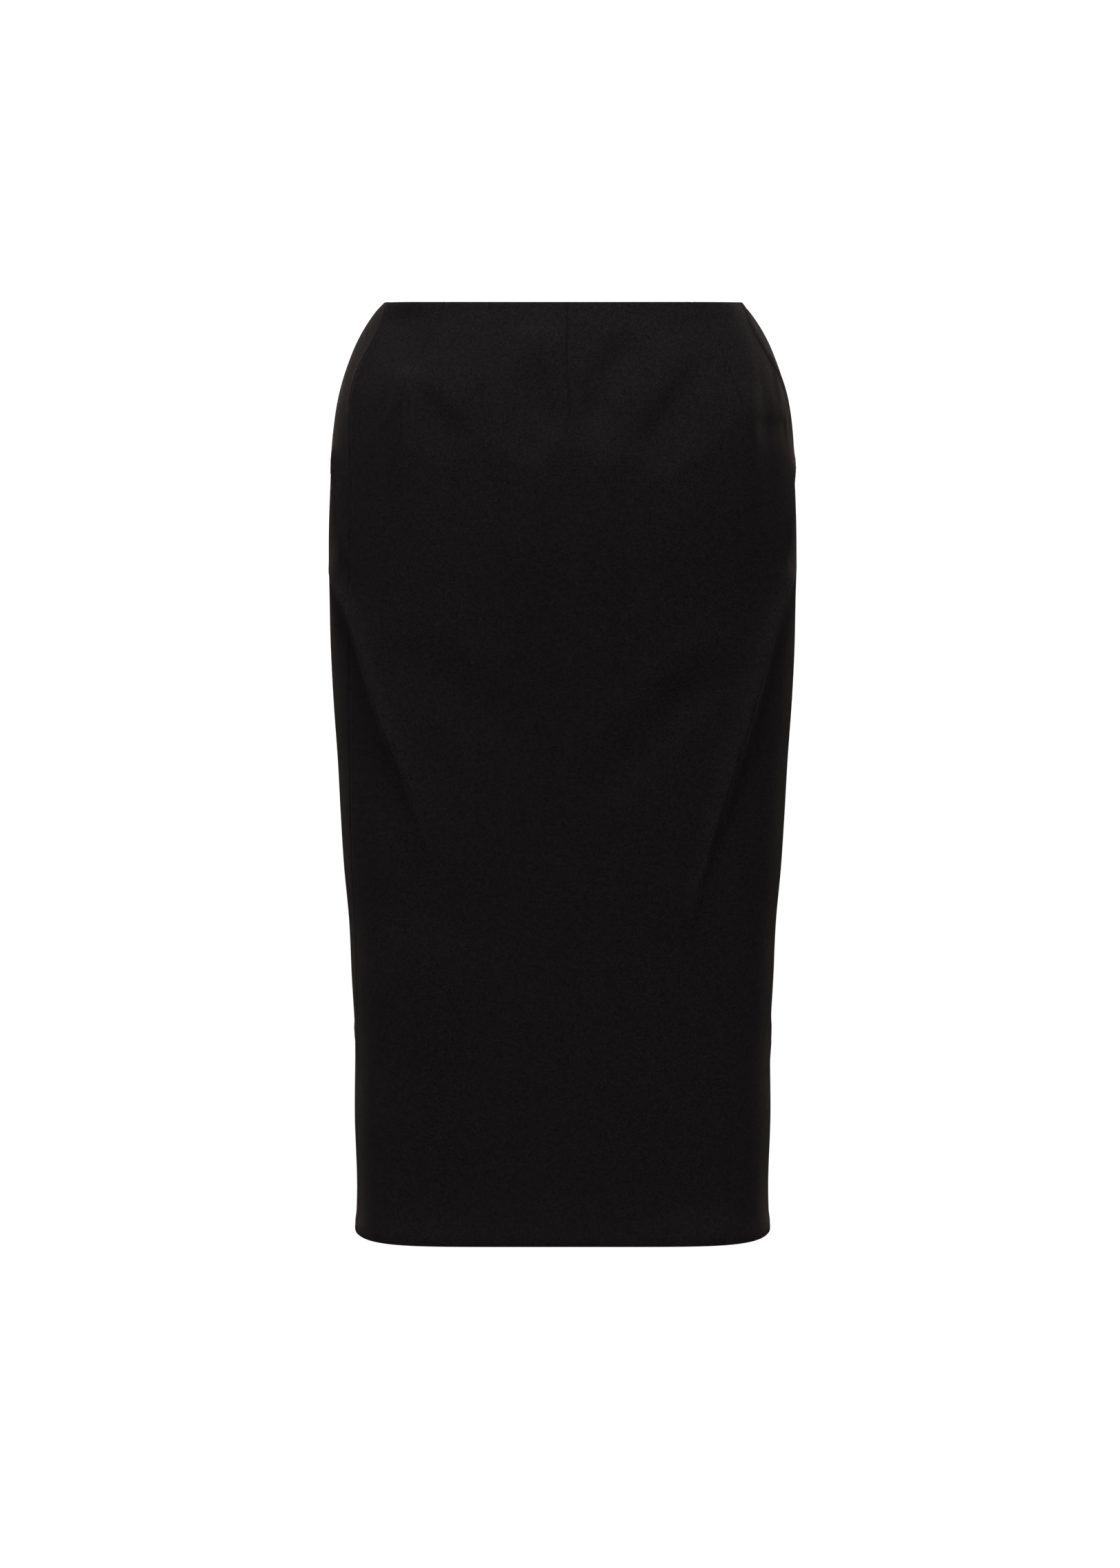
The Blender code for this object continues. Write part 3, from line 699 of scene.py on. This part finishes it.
def panel(name, lines_at, counts, widths, finish):
    """One cut panel from its waist's raw edge to its hem's, and from one allowance to the other."""
    drops, turned_sink, inside, crest = row_plan().T
    rings = Rings(drops)
    lines = lines_at(rings)
    start_width, end_width = (width(drops) for width in widths)
    around, sink = panel_grid(drops, lines, counts, start_width, end_width)
    level = np.repeat(drops[:, None], around.shape[1], axis=1)
    from_back = rings.to_back[:, None] - np.abs(around)
    face = outer_face(drops, around)
    normal, run = outer_directions(drops, around)
    cut_back(face, normal, level, around, from_back)
    depth = turned_sink[:, None] + sink * (1 - 2 * inside[:, None])
    nested = sink * crest[:, None]
    points = face - normal * depth[..., None] + run * nested[..., None]
    # How much painted shade each point gets in the seams and darts
    shade = painted_seam_shading(rings, around, level)
    across = around if name == "front" else np.sign(around) * from_back
    return cloth_object(name, points, np.stack((across, level), axis=-1), shade, finish)


def cut_back(face, normal, level, around, from_back):
    """Shorten the waist's turned-in rows beside the zip, clear of its tapes."""
    fold = WAIST_ROWS
    beyond = ease((from_back[:fold] - WAIST_CUT_BACK) / CUT_BACK_EASE)
    kept = CUT_BACK_KEPT + (1 - CUT_BACK_KEPT) * beyond
    wanted = level[fold] + (level[:fold] - level[fold]) * kept
    known = level[fold::-1, 0]
    tables = [around, *(table[..., axis] for table in (face, normal) for axis in range(3))]
    for table in tables:
        for column in range(level.shape[1]):
            values = table[fold::-1, column].copy()
            table[:fold, column] = np.interp(wanted[:, column], known, values)
    level[:fold] = wanted


def on_cloth(around, drop, depth):
    """Places a depth under the cloth's outer face, for lists of lengths round and drops."""
    around = np.asarray(around, dtype=float)[:, None]
    drop = np.asarray(drop, dtype=float)
    depth = np.broadcast_to(np.asarray(depth, dtype=float), drop.shape)
    normal, _ = outer_directions(drop, around)
    return outer_face(drop, around)[:, 0] - normal[:, 0] * depth[:, None]


def flat_cut(lines_at, widths, intake):
    """A panel's flat cut in metres and square metres: its width and length, and its area."""
    levels = 140
    drops = np.linspace(0.0, SKIRT_LENGTH, levels)
    rings = Rings(drops)
    lines = lines_at(rings)
    width = lines[-1] - lines[0] + widths[0](drops) + widths[1](drops)
    width = width + intake * np.clip(1 - drops / DART_LENGTH, 0.0, 1.0)
    length = SKIRT_LENGTH + WAIST_TURN + HEM_TURN_UP
    area = width.mean() * SKIRT_LENGTH + width[0] * WAIST_TURN + width[-1] * HEM_TURN_UP
    return (width.max() * MM, length * MM), area * MM * MM


# Painted shade along a dart's stitching, fading out towards its point
def painted_dart_shade(dart, place, level):
    strength = ease((dart[-1][0] - level) / DART_SHADE_FADE)
    return strength * bell(place - dart_line(dart, level), SHADE_WIDTH)


def painted_seam_shading(rings, around, level):
    """How deep in a seam or dart a point lies, from 0 to 1: how much painted shade it gets."""
    from_back = rings.to_back[:, None] - np.abs(around)
    shade = bell(from_back, BACK_SHADE_WIDTH)
    for side in (LEFT, RIGHT):
        shade = np.maximum(shade, bell(around - rings.seam(side)[:, None], SHADE_WIDTH))
    for dart, _, _ in FRONT_DARTS:
        shade = np.maximum(shade, painted_dart_shade(dart, around, level))
    return np.maximum(shade, painted_dart_shade(BACK_DART, from_back, level))


def about_dart(dart, line, drops):
    """Stop lines beside a dart's line, which spread apart below its point."""
    spread = 1 + DART_OFFSETS_GROW * ease((drops - dart[-1][0]) / DART_OFFSETS_EASE)
    return [line + offset * spread for offset in DART_OFFSETS]


def front_lines(rings):
    """Front panel's stop lines: right seam, about each dart, left seam."""
    lines = [rings.seam(RIGHT) - SEAM_OVERLAP / 2]
    for dart, side, _ in FRONT_DARTS:
        length = dart[-1][0]
        at_point = abs(Rings([length]).seam(side)[0])
        seam = np.abs(rings.seam(side))
        scale = np.where(rings.drops > length, seam / at_point, 1.0)
        lines += about_dart(dart, dart_line(dart, rings.drops) * scale, rings.drops)
    return lines + [rings.seam(LEFT) + SEAM_OVERLAP / 2]


def centre_back_half_gap(drops):
    """Half the centre back's gap: open for the slider, then closed, then open down the slit."""
    closed = -SEAM_OVERLAP / 2
    parted = (PARTED_HALF_GAP - closed) * ease((CLOSED_FROM - drops) / (CLOSED_FROM - PARTED_TO))
    spread = (SLIT_HALF_SPREAD - closed) * np.maximum(drops - SLIT_TOP, 0.0) / SLIT_LENGTH
    return closed + parted + spread


def back_lines(side):
    """A function for a back panel's stop lines: side seam, about its dart, centre back."""
    def lines(rings):
        seam = np.abs(rings.seam(side)) - SEAM_OVERLAP / 2
        end = rings.to_back - centre_back_half_gap(rings.drops)
        dart = rings.to_back - dart_line(BACK_DART, rings.drops)
        found = [side * line for line in (seam, *about_dart(BACK_DART, dart, rings.drops), end)]
        return found if side == LEFT else found[::-1]
    return lines


def side_width(drops):
    """The allowance along a side seam."""
    return np.full(drops.shape, SEAM_ALLOWANCE)


def back_width(drops):
    """The allowance along the centre back, which widens to the slit's facing."""
    widening = ease((drops - SLIT_TOP + FACING_EASE) / FACING_EASE)
    return SEAM_ALLOWANCE + (SLIT_FACING - SEAM_ALLOWANCE) * widening


# ---------------- thread and the zip's coil


def strand(name, paths, radius, finish, sides=5):
    """Thin closed tubes along lists of points in millimetres, as one piece."""
    angles = np.linspace(0.0, 2 * math.pi, sides, endpoint=False)
    circle = np.stack((np.cos(angles), np.sin(angles)), axis=1) * radius
    verts, faces, start = [], [], 0
    for path in paths:
        path = np.asarray(path, dtype=float)
        run = np.gradient(path, axis=0)
        run /= np.linalg.norm(run, axis=1, keepdims=True)
        spare = np.where(np.abs(run[:, 2:]) < 0.8, (0.0, 0.0, 1.0), (1.0, 0.0, 0.0))
        side = np.cross(run, spare)
        side /= np.linalg.norm(side, axis=1, keepdims=True)
        up = np.cross(side, run)
        ring = (path[:, None] + side[:, None] * circle[None, :, :1]
                + up[:, None] * circle[None, :, 1:])
        verts.append(ring.reshape(-1, 3))
        count = len(path)
        for row in range(count - 1):
            low = start + row * sides
            for step in range(sides):
                far = (step + 1) % sides
                faces.append((low + step, low + far, low + sides + far, low + sides + step))
        faces.append(tuple(start + step for step in range(sides))[::-1])
        faces.append(tuple(start + (count - 1) * sides + step for step in range(sides)))
        start += count * sides
    mesh = bpy.data.meshes.new(name)
    mesh.from_pydata((np.concatenate(verts) * MM).tolist(), [], faces)
    mesh.materials.append(finish)
    mesh.shade_smooth()
    return placed(name, mesh)


def back_to_round(side, from_back, drop):
    """Length round of places measured from the centre back."""
    return side * (Rings(drop).to_back - from_back)


def zip_coil(name, side, finish):
    """One half of the nylon coil, wound along its tape's inner edge."""
    turns = (COIL_BOTTOM - COIL_TOP) / COIL_PITCH
    steps_a_turn = 9
    angle = np.linspace(0.0, 2 * math.pi * turns, int(turns * steps_a_turn))
    drop = COIL_TOP + angle / (2 * math.pi) * COIL_PITCH + (COIL_PITCH / 2 if side == LEFT else 0)
    from_back = COIL_OFFSET + COIL_RADIUS * np.cos(angle)
    depth = TAPE_INNER_FACE + COIL_WIRE + COIL_CLEARANCE
    depth = depth + COIL_FLATNESS * COIL_RADIUS * (1 + np.sin(angle))
    axis = on_cloth(back_to_round(side, 0.0, drop), drop, 0.0)
    beside = on_cloth(back_to_round(side, 4.0, drop), drop, 0.0)
    run = beside - axis
    run[:, 2] = 0.0
    run /= np.linalg.norm(run, axis=1, keepdims=True)
    inward = np.array((0.0, -1.0, 0.0))
    path = axis + run * from_back[:, None] + inward * depth[:, None]
    return strand(name, [path], COIL_WIRE, finish, sides=6)


def tape_stitches(name, side, finish):
    """Machine stitches down a zip tape, seen on its inner face."""
    points = 5
    lift = THREAD * STITCH_RISE * np.sin(np.linspace(0.0, math.pi, points))
    first, last = TAPE_TOP + TAPE_STITCH_MARGIN, COIL_BOTTOM - TAPE_STITCH_MARGIN
    paths = []
    for from_back in TAPE_STITCHES_AT:
        for top in np.arange(first, last, STITCH_PITCH):
            drop = top + np.linspace(0.0, STITCH_LENGTH, points)
            around = back_to_round(side, from_back, drop)
            paths.append(on_cloth(around, drop, TAPE_INNER_FACE + lift))
    return strand(name, paths, THREAD, finish)


def overlock(name, edges, finish):
    """Overlock thread over raw edges: each edge as (places round, drops, way in, depth)."""
    paths = []
    for around, drop, way_in, depth in edges:
        even = np.arange(len(around)) % 2
        over = OVERLOCK_DEPTH * even
        paths.append(on_cloth(around + way_in[0] * over, drop + way_in[1] * over, depth))
    return strand(name, paths, THREAD, finish, sides=4)


def upright_edge(lines_at, which, width, way_in):
    """The raw edge of an upright seam's allowance, for a panel's first or last line."""
    top = WAIST_TURN + OVERLOCK_MARGIN
    bottom = SKIRT_LENGTH - HEM_TURN_UP - OVERLOCK_MARGIN
    drop = np.arange(top, bottom, OVERLOCK_PITCH / 2)
    around = lines_at(Rings(drop))[which] - way_in * width(drop)
    return around, drop, (way_in, 0), ALLOWANCE_SINK + THREAD


def turn_up_ends(lines_at):
    """The drop of the turn-up's raw edge, and the panel's two edges there."""
    drop = SKIRT_LENGTH - HEM_TURN_UP
    lines = lines_at(Rings([drop]))
    return drop, lines[0][0], lines[-1][0]


def level_edge(lines_at):
    """The raw edge of the hem's turn-up, clear of the seams at both ends."""
    drop, first, last = turn_up_ends(lines_at)
    around = np.arange(
        first + HEM_OVERLOCK_MARGIN, last - HEM_OVERLOCK_MARGIN, OVERLOCK_PITCH / 2)
    return around, np.full(around.shape, drop), (0, 1), EDGE_FOLD + THREAD


def blind_stitches(name, lines_at, finish):
    """Small slanted stitches that catch the hem's turn-up, on its inner side."""
    drop, first, last = turn_up_ends(lines_at)
    depth = np.array(BLIND_STITCH_DEPTHS) + THREAD
    across = np.linspace(0.0, BLIND_STITCH_ACROSS, len(depth))
    drops = drop + BLIND_STITCH_ABOVE - np.linspace(0.0, BLIND_STITCH_DOWN, len(depth))
    starts = np.arange(first + BLIND_STITCH_MARGIN, last - BLIND_STITCH_MARGIN, BLIND_STITCH_PITCH)
    paths = [on_cloth(start + across, drops, depth) for start in starts]
    return strand(name, paths, THREAD, finish, sides=4)


# ---------------- materials

# Colours, and the sizes of what is woven or twisted, in millimetres
SUITING_BLACK = (0.00245, 0.00212, 0.00230)
TAPE_BLACK = (0.0062, 0.0060, 0.0062)
ENAMEL_BLACK = (0.009, 0.009, 0.0095)
NYLON_BLACK = (0.0075, 0.0075, 0.0078)
TWIST_BLACK = (0.0060, 0.0056, 0.0058)
YARN = 0.25
SLUB_LENGTH = 2.5
MOTTLE_LENGTH = 14.0
TAPE_RIB = 0.6
TAPE_BONE = 0.48
TAPE_LEAN = 1.5
TWIST_PLY = 0.35


class Sums:
    """Short ways to write a material's arithmetic."""

    def __init__(self, tree):
        self.tree = tree

    def put(self, socket, value):
        if isinstance(value, bpy.types.NodeSocket):
            self.tree.links.new(value, socket)
        else:
            socket.default_value = value

    def math(self, operation, *values):
        node = self.tree.nodes.new("ShaderNodeMath")
        node.operation = operation
        for socket, value in zip(node.inputs, values):
            self.put(socket, value)
        return node.outputs[0]

    def line(self, start, slope, value):
        """start + slope * value"""
        return self.math("ADD", start, self.math("MULTIPLY", value, slope))

    def centred(self, value, size):
        """A noise's swing about its middle, times a size."""
        return self.math("MULTIPLY", self.math("SUBTRACT", value, 0.5), size)

    def ridges(self, place, length):
        """A wave from -1 to 1 along a place, each as long as given."""
        return self.math("SINE", self.math("MULTIPLY", place, 2 * math.pi / length))

    def vector(self, x, y, z=0.0):
        node = self.tree.nodes.new("ShaderNodeCombineXYZ")
        for socket, value in zip(node.inputs, (x, y, z)):
            self.put(socket, value)
        return node.outputs[0]

    def parts(self, vector):
        node = self.tree.nodes.new("ShaderNodeSeparateXYZ")
        self.put(node.inputs[0], vector)
        return node.outputs

    def object_place(self):
        return self.tree.nodes.new("ShaderNodeTexCoord").outputs["Object"]

    def noise(self, vector, scale=1.0, detail=1.0, roughness=0.5):
        node = self.tree.nodes.new("ShaderNodeTexNoise")
        self.put(node.inputs["Vector"], vector)
        node.inputs["Scale"].default_value = scale
        node.inputs["Detail"].default_value = detail
        node.inputs["Roughness"].default_value = roughness
        return node.outputs["Fac"]

    def scaled(self, color, factor):
        node = self.tree.nodes.new("ShaderNodeVectorMath")
        node.operation = "SCALE"
        node.inputs[0].default_value = color
        self.put(node.inputs["Scale"], factor)
        return node.outputs["Vector"]

    def bump(self, height, distance, strength):
        node = self.tree.nodes.new("ShaderNodeBump")
        self.put(node.inputs["Height"], height)
        node.inputs["Distance"].default_value = distance
        node.inputs["Strength"].default_value = strength
        return node.outputs["Normal"]


def new_finish(name, values):
    """A new material with these values, its shader's sockets, and its arithmetic."""
    finish = bpy.data.materials.new(name)
    finish.use_nodes = True
    tree = finish.node_tree
    shader = tree.nodes["Principled BSDF"].inputs
    for socket, value in values.items():
        shader[socket].default_value = value
    return finish, shader, Sums(tree)


def suiting(name):
    """Matte black plain weave: crossing slubby yarns, a slight mottle, a faint warm nap, and
    painted shade between the yarns and in the seams and darts.
    """
    finish, shader, sums = new_finish(name, {
        "Roughness": 0.9,
        "Specular IOR Level": 0.0,
        "Sheen Weight": 0.0145,
        "Sheen Roughness": 0.26,
        "Sheen Tint": (1.0, 0.85, 0.75, 1),
    })
    where = sums.tree.nodes.new("ShaderNodeUVMap")
    where.uv_map = "weave"
    across, down, _ = sums.parts(where.outputs["UV"])

    def number(place, spread):
        """Which yarn a place lies on, spread out so that neighbours differ."""
        return sums.math("MULTIPLY", sums.math("FLOOR", sums.math("DIVIDE", place, YARN)), spread)

    def slubs(place):
        return sums.math("DIVIDE", place, SLUB_LENGTH)

    warp = sums.noise(sums.vector(number(across, 7.31), slubs(down)))
    weft = sums.noise(sums.vector(slubs(across), number(down, 6.17), 40.0))
    fleck = sums.noise(sums.vector(number(across, 5.17), number(down, 3.77), 80.0))
    patch = [sums.math("DIVIDE", place, MOTTLE_LENGTH) for place in (across, down)]
    mottle = sums.noise(sums.vector(*patch), detail=3.0, roughness=0.6)
    crossing = sums.math("MULTIPLY", *(sums.ridges(place, 2 * YARN) for place in (across, down)))
    on_top = sums.math("GREATER_THAN", crossing, 0.0)
    yarn = sums.math("ADD", sums.math("MULTIPLY", warp, on_top),
                     sums.math("MULTIPLY", weft, sums.math("SUBTRACT", 1.0, on_top)))
    rounded = sums.math("ABSOLUTE", crossing)
    factor = 0.9
    for noise, swing in ((yarn, 3.0), (fleck, 5.6), (mottle, 0.10)):
        factor = sums.math("ADD", factor, sums.centred(noise, swing))
    # Painted shade of the weave: the colour is lighter on the yarns' crowns and darker between them
    factor = sums.line(factor, 0.25, rounded)
    # Painted shade: the colour is darker in the seams and darts, where shade falls in them
    painted_shade_input = sums.tree.nodes.new("ShaderNodeAttribute")
    painted_shade_input.attribute_name = "painted_seam_shade"
    painted_shade_factor = sums.line(1.0, -0.25, painted_shade_input.outputs["Fac"])
    factor = sums.math("MAXIMUM", sums.math("MULTIPLY", factor, painted_shade_factor), 0.25)
    sums.put(shader["Base Color"], sums.scaled(SUITING_BLACK, factor))
    height = sums.math("MULTIPLY", rounded, sums.math("ADD", 0.7, sums.centred(yarn, 1.5)))
    sums.put(shader["Normal"], sums.bump(height, 0.00010, 0.5))
    return finish


def tape_weave(name):
    """Black polyester tape: fine ribs along its length, crossed by a herringbone."""
    finish, shader, sums = new_finish(
        name, {"Roughness": 0.75, "Specular IOR Level": 0.08, "Sheen Weight": 0.02})
    across, _, down = sums.parts(sums.object_place())
    rib = sums.ridges(across, TAPE_RIB * MM)
    lean = sums.math("PINGPONG", across, TAPE_LEAN * MM)
    bone = sums.ridges(sums.math("ADD", down, lean), TAPE_BONE * MM)
    height = sums.math("ADD", sums.math("MULTIPLY", rib, 0.5), sums.math("MULTIPLY", bone, 0.5))
    sums.put(shader["Normal"], sums.bump(height, 0.00010, 0.6))
    sums.put(shader["Base Color"], sums.scaled(TAPE_BLACK, sums.line(1.0, 0.3, height)))
    return finish


def enamel(name):
    """Black enamel on cast zinc: slightly rippled, scuffed a little duller in places."""
    finish, shader, sums = new_finish(
        name, {"Specular IOR Level": 0.12, "Coat Weight": 0.03, "Coat Roughness": 0.25})
    where = sums.object_place()
    ripple = sums.noise(where, scale=900.0, detail=2.0)
    scuff = sums.noise(where, scale=2600.0, detail=3.0, roughness=0.65)
    sums.put(shader["Normal"], sums.bump(ripple, 0.00003, 0.2))
    sums.put(shader["Roughness"], sums.line(0.30, 0.22, scuff))
    sums.put(shader["Base Color"], sums.scaled(ENAMEL_BLACK, sums.line(0.85, 0.4, scuff)))
    return finish


def nylon(name):
    """The coil's black nylon."""
    finish, shader, sums = new_finish(name, {"Specular IOR Level": 0.3})
    cloudy = sums.noise(sums.object_place(), scale=1500.0, detail=2.0)
    sums.put(shader["Roughness"], sums.line(0.42, 0.2, cloudy))
    sums.put(shader["Base Color"], sums.scaled(NYLON_BLACK, sums.line(0.8, 0.4, cloudy)))
    return finish


def twist(name):
    """Black polyester thread with a fine twist."""
    finish, shader, sums = new_finish(name, {"Roughness": 0.55, "Specular IOR Level": 0.3})
    across, _, down = sums.parts(sums.object_place())
    ply = sums.ridges(sums.math("ADD", across, down), TWIST_PLY * MM)
    sums.put(shader["Normal"], sums.bump(ply, 0.00003, 0.6))
    sums.put(shader["Base Color"], sums.scaled(TWIST_BLACK, sums.line(1.0, 0.2, ply)))
    return finish


# ---------------- build

CLOTH = suiting("suiting")
TAPE = tape_weave("zip_tape")
METAL = enamel("zip_metal")
NYLON = nylon("zip_coil_nylon")
SEWING = twist("thread")

# Each panel's name, the solid it replaces, its stop lines, the columns between them, its
# allowances' widths and its darts' intake
PANELS = (
    ("front", "front_panel", front_lines, FRONT_COUNTS, (side_width, side_width),
     2 * DART_INTAKE + DART_INTAKE / 2),
    ("back_left", "back_left_panel", back_lines(LEFT), BACK_COUNTS_LEFT,
     (side_width, back_width), DART_INTAKE),
    ("back_right", "back_right_panel", back_lines(RIGHT), BACK_COUNTS_RIGHT,
     (back_width, side_width), DART_INTAKE),
)
for name, node, lines_at, counts, widths, intake in PANELS:
    piece = panel(name, lines_at, counts, widths, CLOTH)
    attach(piece, "skirt")
    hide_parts(node)
    flat, area = flat_cut(lines_at, widths, intake)
    edges = [
        upright_edge(lines_at, 0, widths[0], -1),
        upright_edge(lines_at, -1, widths[1], 1),
        level_edge(lines_at),
    ]
    overlocked = overlock(name + "_overlock", edges, SEWING)
    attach(overlocked, "skirt")
    hemmed = blind_stitches(name + "_hem_stitches", lines_at, SEWING)
    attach(hemmed, "skirt")

for hand, side in (("left", LEFT), ("right", RIGHT)):
    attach(zip_coil("zip_coil_" + hand, side, NYLON), "skirt")
    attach(tape_stitches("tape_stitches_" + hand, side, SEWING), "skirt")

for name, finish in (("zip_tape_left", TAPE), ("zip_tape_right", TAPE),
                     ("zip_slider", METAL), ("zip_pull", METAL)):
    node = bpy.data.objects[name]
    node.data.materials.clear()
    node.data.materials.append(finish)

# ---------------- stage, light and camera

# In metres. The camera is level with the waist edge, and looks down a little
FLOOR_DROP = 1.3
FLOOR_HALF_SIZE = 12.0
CAMERA_PLACE = (-0.00195, -4.0, 0.0)
CAMERA_TILT = 5.143
FOCAL_PX = 7773.0
FRAME_HEIGHT_PX = 2273.0
SENSOR = 36.0
DAYLIGHT = 1.15

# Each light's name, its place, what it's aimed at, its size, its watts and its spread in degrees
LIGHTS = (
    ("key", (-0.06, -0.78, 1.9), (0.0, -0.1, -0.3), (0.7, 0.4), 23.0, 50.0),
    ("back_key", (0.0, 0.83, 1.25), (0.0, 0.1, -0.25), (0.7, 0.4), 24.0, 70.0),
    ("left_strip", (1.4, -0.5, -0.55), (0.0, 0.0, -0.55), (0.5, 0.8), 9.6, 180.0),
    ("right_strip", (-1.4, -0.5, -0.5), (0.0, 0.0, -0.5), (0.5, 0.9), 12.2, 180.0),
)


def studio():
    """A pale floor far below the skirt, and even white light from all round."""
    half = FLOOR_HALF_SIZE
    corners = [(-half, -half), (half, -half), (half, half), (-half, half)]
    mesh = bpy.data.meshes.new("floor")
    mesh.from_pydata([(x, y, -FLOOR_DROP) for x, y in corners], [], [(0, 1, 2, 3)])
    finish, _, _ = new_finish(
        "paper_white", {"Base Color": (0.9, 0.9, 0.9, 1), "Roughness": 0.9})
    mesh.materials.append(finish)
    floor = placed("floor", mesh)
    world = bpy.data.worlds.new("studio")
    world.use_nodes = True
    background = world.node_tree.nodes["Background"].inputs
    background["Color"].default_value = (1, 1, 1, 1)
    background["Strength"].default_value = DAYLIGHT
    bpy.context.scene.world = world


def area_light(name, place, aim, size, power, spread):
    light = bpy.data.lights.new(name, "AREA")
    light.shape = "RECTANGLE"
    light.size, light.size_y = size
    light.energy = power
    light.spread = math.radians(spread)
    item = placed(name, light)
    item.location = place
    item.rotation_euler = (Vector(aim) - Vector(place)).to_track_quat("-Z", "Y").to_euler()


def camera():
    data = bpy.data.cameras.new("camera")
    data.sensor_width = SENSOR
    data.lens = SENSOR * FOCAL_PX / FRAME_HEIGHT_PX
    data.clip_end = 100.0
    item = placed("camera", data)
    item.location = CAMERA_PLACE
    item.rotation_euler = (math.radians(90.0 - CAMERA_TILT), 0.0, 0.0)
    bpy.context.scene.camera = item


studio()
for light in LIGHTS:
    area_light(*light)
camera()
bpy.context.scene.view_settings.view_transform = "Standard"
